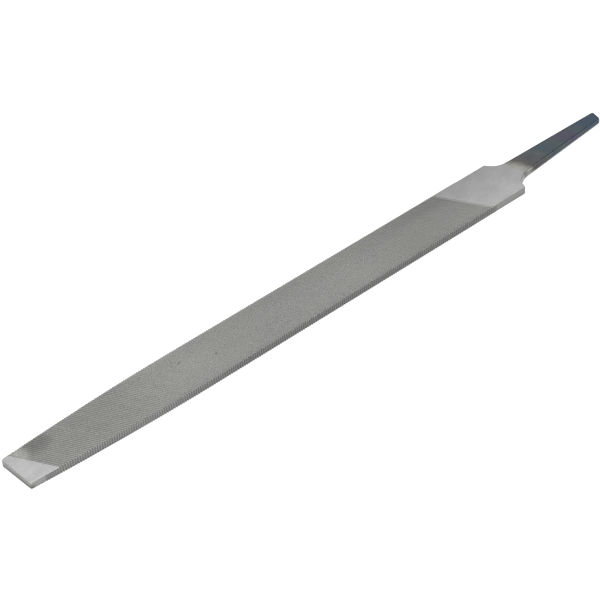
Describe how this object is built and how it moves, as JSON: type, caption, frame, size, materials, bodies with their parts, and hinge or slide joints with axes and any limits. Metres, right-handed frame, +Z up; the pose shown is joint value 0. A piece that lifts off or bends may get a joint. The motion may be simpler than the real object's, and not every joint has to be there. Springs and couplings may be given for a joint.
{
  "type": "flat file",
  "caption": "Bare flat hand file for metal: a thin tapered steel blade with slanting single-cut teeth on faces and edges, plain ground ends, and a dark tang for a handle.",
  "frame": {"origin": "on the plane the file lies on, under the middle of its whole length, midway between the blade's two edges", "axes": "+X runs along the blade from the point to the tang, +Y across the blade towards the shoulder that is an open hollow, +Z up, square to the faces"},
  "size_m": [0.3118, 0.0234, 0.0034],
  "materials": {
    "ground_steel": "hardened tool steel, ground along and across, satin",
    "cut_steel": "hardened tool steel with rows of raised single-cut teeth, dull grey from the cutting and hardening",
    "blued_steel": "forge-blued steel, dark blue-grey scale, smooth with faint streaks"
  },
  "bodies": {
    "root": {"point": "ground_steel", "cut_body": "cut_steel", "heel": "ground_steel", "tang": "blued_steel"}
  },
  "joints": []
}
